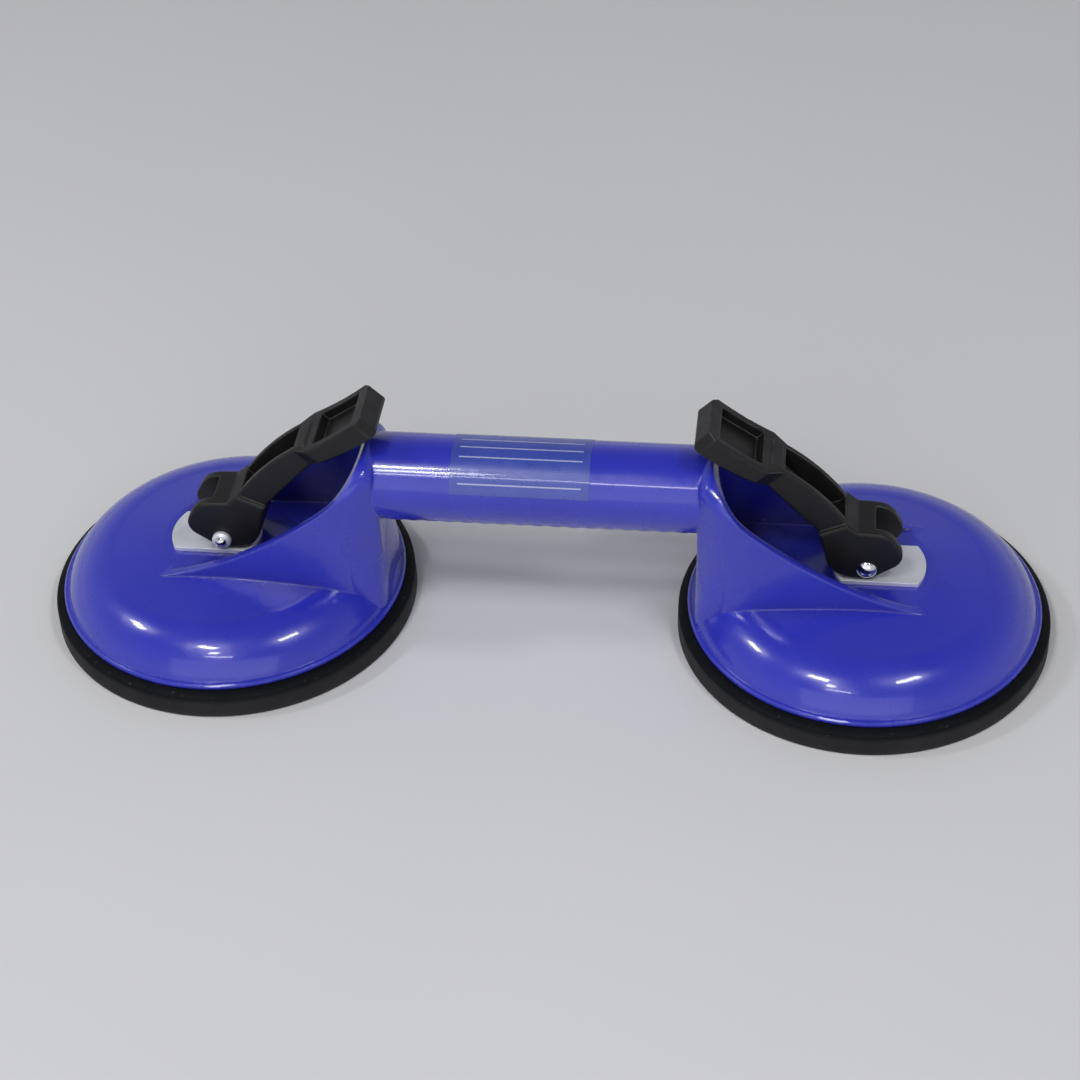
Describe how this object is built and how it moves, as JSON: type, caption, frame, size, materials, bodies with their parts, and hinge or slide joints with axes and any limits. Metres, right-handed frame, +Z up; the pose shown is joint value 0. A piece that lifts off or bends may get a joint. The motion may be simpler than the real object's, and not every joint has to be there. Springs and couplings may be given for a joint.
{
  "type": "twin-cup suction lifter",
  "caption": "Two round suction cups under blue domed castings joined by a round grip bar, each cup worked by its own black flip-over cam lever.",
  "frame": {"origin": "on the floor, midway between the two cups", "axes": "+X along the grip bar towards the right cup, -Y towards the side where the right lever's pin shows its head, +Z up"},
  "size_m": [0.3288, 0.1204, 0.0829],
  "materials": {
    "blue_enamel": "smooth glossy stove enamel",
    "black_rubber": "matt moulded rubber",
    "zinc_steel": "bright zinc plate",
    "spring_steel": "oiled drawn wire",
    "bright_steel": "polished",
    "black_plastic": "fine satin moulding",
    "label_film": "clear film with pale rules"
  },
  "bodies": {
    "body": {"body_casting": "blue_enamel", "handle_label": "label_film", "rubber_pad_left": "black_rubber", "wear_plate_left": "zinc_steel", "spring_left": "spring_steel", "rubber_pad_right": "black_rubber", "wear_plate_right": "zinc_steel", "spring_right": "spring_steel"},
    "plunger_left": {"stem_left": "zinc_steel", "pad_plate_left": "zinc_steel", "lever_pin_left": "bright_steel", "pin_clip_left": "spring_steel"},
    "lever_left": {"lever_left": "black_plastic"},
    "plunger_right": {"stem_right": "zinc_steel", "pad_plate_right": "zinc_steel", "lever_pin_right": "bright_steel", "pin_clip_right": "spring_steel"},
    "lever_right": {"lever_right": "black_plastic"}
  },
  "joints": [
    {"name": "plunger_lift_left", "type": "slide", "parent": "body", "child": "plunger_left", "axis": [0, 0, 1], "range_m": [0, 0.0091], "deforming": ["spring_left", "rubber_pad_left"]},
    {"name": "lever_flip_left", "type": "hinge", "parent": "plunger_left", "child": "lever_left", "pos_m": [-0.1042, 0, 0.0308], "axis": [0, -1, 0], "range_deg": [0, 118]},
    {"name": "plunger_lift_right", "type": "slide", "parent": "body", "child": "plunger_right", "axis": [0, 0, 1], "range_m": [0, 0.0091], "deforming": ["spring_right", "rubber_pad_right"]},
    {"name": "lever_flip_right", "type": "hinge", "parent": "plunger_right", "child": "lever_right", "pos_m": [0.1042, 0, 0.0308], "axis": [0, 1, 0], "range_deg": [0, 118]}
  ],
  "couplings": [
    {"joint": "plunger_lift_left", "follows": "lever_flip_left", "m_per_rad": 0.0044},
    {"joint": "plunger_lift_right", "follows": "lever_flip_right", "m_per_rad": 0.0044}
  ]
}
